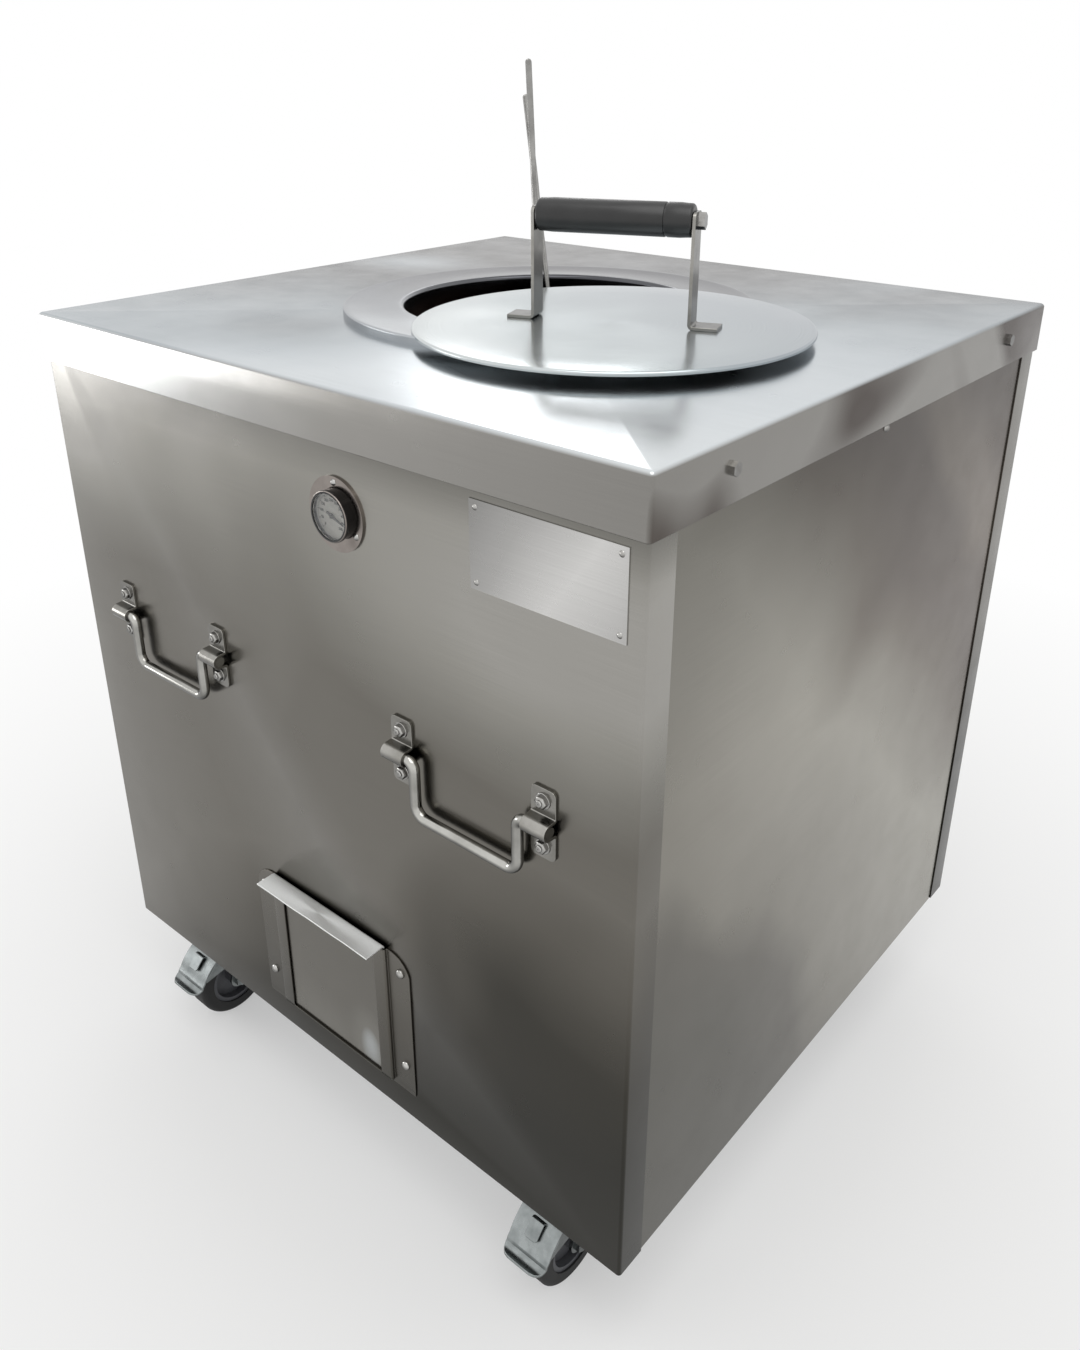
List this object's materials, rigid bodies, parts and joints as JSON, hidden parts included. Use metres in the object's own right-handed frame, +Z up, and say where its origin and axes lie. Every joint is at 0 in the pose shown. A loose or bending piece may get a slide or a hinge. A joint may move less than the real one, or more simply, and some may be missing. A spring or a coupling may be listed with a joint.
{
  "type": "clay tandoor oven",
  "caption": "Square stainless-steel cabinet on braked swivel casters around a clay tandoor pot, with a ringed top mouth, loose lid, draught door, dial thermometer and drop handles.",
  "frame": {"origin": "on the floor, in the middle of the part's width and depth", "axes": "+Z up; the front face with the dial and the draught door looks towards -Y; +X is to the right seen from the front"},
  "size_m": [0.768, 0.7264, 1.1132],
  "materials": {
    "painted_iron": "satin paint on mild steel angle",
    "galvanised": "galvanised sheet",
    "fire_slab": "rough refractory slab",
    "fired_clay": "unglazed fired clay, rough",
    "mineral_wool": "loose mineral fibre",
    "panel_steel": "fine vertical brushing, satin",
    "cap_steel": "fine brushing, satin",
    "ring_steel": "circular brushing, bright",
    "lid_steel": "circular brushing, bright",
    "duct_steel": "satin",
    "bolt_steel": "bright stainless",
    "flange_chrome": "bright",
    "case_black": "gloss black enamel",
    "dial_white": "matte white with plain black numbers",
    "pointer_black": "matte black",
    "clear_glass": "clear, flat",
    "probe_steel": "satin",
    "plate_steel": "satin, blank",
    "handle_steel": "polished rod and strap",
    "grip_black": "moulded black phenolic, semi-gloss",
    "rod_steel": "drawn bar, satin",
    "zinc": "bright zinc plate",
    "hub_grey": "moulded, matte",
    "black_rubber": "matte black rubber"
  },
  "bodies": {
    "casing": {"lower_frame": "painted_iron", "upper_frame": "painted_iron", "floor_pan": "galvanised", "hearth_slab": "fire_slab", "clay_pot": "fired_clay", "insulation_fill": "mineral_wool", "front_panel": "panel_steel", "back_panel": "panel_steel", "left_side_panel": "panel_steel", "right_side_panel": "panel_steel", "side_screws": "bolt_steel", "cap_tray": "cap_steel", "cap_bolts": "bolt_steel", "mouth_ring": "ring_steel", "draught_duct": "duct_steel", "draught_frame": "duct_steel", "draught_screws": "bolt_steel", "gauge_flange": "flange_chrome", "gauge_case": "case_black", "gauge_dial": "dial_white", "gauge_glass": "clear_glass", "gauge_probe": "probe_steel", "gauge_screws": "bolt_steel", "name_plate": "plate_steel", "plate_rivets": "bolt_steel", "left_handle_saddles": "handle_steel", "right_handle_saddles": "handle_steel", "handle_bolts": "bolt_steel", "caster_plates": "zinc", "caster_bolts": "zinc", "caster_kingpins": "zinc"},
    "draught_door": {"draught_door": "duct_steel"},
    "gauge_pointer": {"gauge_pointer": "pointer_black"},
    "left_bail": {"left_bail": "handle_steel"},
    "right_bail": {"right_bail": "handle_steel"},
    "lid": {"lid_disc": "lid_steel", "lid_legs": "handle_steel", "lid_grip": "grip_black", "grip_bolt": "bolt_steel"},
    "bread_hook": {"bread_hook": "rod_steel"},
    "bread_scraper": {"bread_scraper": "rod_steel"},
    "swivel_front_left": {"fork_front_left": "zinc", "axle_front_left": "zinc"},
    "wheel_front_left": {"hub_front_left": "hub_grey", "tyre_front_left": "black_rubber"},
    "swivel_front_right": {"fork_front_right": "zinc", "axle_front_right": "zinc"},
    "wheel_front_right": {"hub_front_right": "hub_grey", "tyre_front_right": "black_rubber"},
    "swivel_rear_left": {"fork_rear_left": "zinc", "axle_rear_left": "zinc"},
    "wheel_rear_left": {"hub_rear_left": "hub_grey", "tyre_rear_left": "black_rubber"},
    "swivel_rear_right": {"fork_rear_right": "zinc", "axle_rear_right": "zinc"},
    "wheel_rear_right": {"hub_rear_right": "hub_grey", "tyre_rear_right": "black_rubber"},
    "brake_front_left": {"pedal_front_left": "zinc"},
    "brake_front_right": {"pedal_front_right": "zinc"}
  },
  "joints": [
    {"name": "draught_door_slide", "type": "slide", "parent": "casing", "child": "draught_door", "axis": [0, 0, 1], "range_m": [0, 0.15]},
    {"name": "gauge_pointer_turn", "type": "hinge", "parent": "casing", "child": "gauge_pointer", "pos_m": [0.0665, -0.33975, 0.773], "axis": [0, 1, 0], "range_deg": [-247, 23]},
    {"name": "left_bail_swing", "type": "hinge", "parent": "casing", "child": "left_bail", "pos_m": [-0.211, -0.34675, 0.573], "axis": [-1, 0, 0], "range_deg": [-3, 180]},
    {"name": "right_bail_swing", "type": "hinge", "parent": "casing", "child": "right_bail", "pos_m": [0.211, -0.34675, 0.573], "axis": [-1, 0, 0], "range_deg": [-3, 180]},
    {"name": "lid_lift", "type": "slide", "parent": "casing", "child": "lid", "axis": [0, 0, 1], "range_m": [0, 0.3]},
    {"name": "bread_hook_pull", "type": "slide", "parent": "casing", "child": "bread_hook", "axis": [-0.0895, 0.0369, 0.9953], "range_m": [0, 0.72]},
    {"name": "bread_scraper_pull", "type": "slide", "parent": "casing", "child": "bread_scraper", "axis": [-0.217, 0.0717, 0.9735], "range_m": [0, 0.72]},
    {"name": "swivel_turn_front_left", "type": "hinge", "parent": "casing", "child": "swivel_front_left", "pos_m": [-0.275, -0.25575, 0.112], "axis": [0, 0, 1], "continuous": true},
    {"name": "wheel_spin_front_left", "type": "hinge", "parent": "swivel_front_left", "child": "wheel_front_left", "pos_m": [-0.275, -0.29075, 0.05], "axis": [1, 0, 0], "continuous": true},
    {"name": "swivel_turn_front_right", "type": "hinge", "parent": "casing", "child": "swivel_front_right", "pos_m": [0.275, -0.25575, 0.112], "axis": [0, 0, 1], "continuous": true},
    {"name": "wheel_spin_front_right", "type": "hinge", "parent": "swivel_front_right", "child": "wheel_front_right", "pos_m": [0.275, -0.29075, 0.05], "axis": [1, 0, 0], "continuous": true},
    {"name": "swivel_turn_rear_left", "type": "hinge", "parent": "casing", "child": "swivel_rear_left", "pos_m": [-0.275, 0.27825, 0.112], "axis": [0, 0, 1], "continuous": true},
    {"name": "wheel_spin_rear_left", "type": "hinge", "parent": "swivel_rear_left", "child": "wheel_rear_left", "pos_m": [-0.275, 0.24325, 0.05], "axis": [1, 0, 0], "continuous": true},
    {"name": "swivel_turn_rear_right", "type": "hinge", "parent": "casing", "child": "swivel_rear_right", "pos_m": [0.275, 0.27825, 0.112], "axis": [0, 0, 1], "continuous": true},
    {"name": "wheel_spin_rear_right", "type": "hinge", "parent": "swivel_rear_right", "child": "wheel_rear_right", "pos_m": [0.275, 0.24325, 0.05], "axis": [1, 0, 0], "continuous": true},
    {"name": "brake_press_front_left", "type": "hinge", "parent": "swivel_front_left", "child": "brake_front_left", "pos_m": [-0.275, -0.27975, 0.0917], "axis": [1, 0, 0], "range_deg": [0, 6]},
    {"name": "brake_press_front_right", "type": "hinge", "parent": "swivel_front_right", "child": "brake_front_right", "pos_m": [0.275, -0.27975, 0.0917], "axis": [1, 0, 0], "range_deg": [0, 6]}
  ]
}
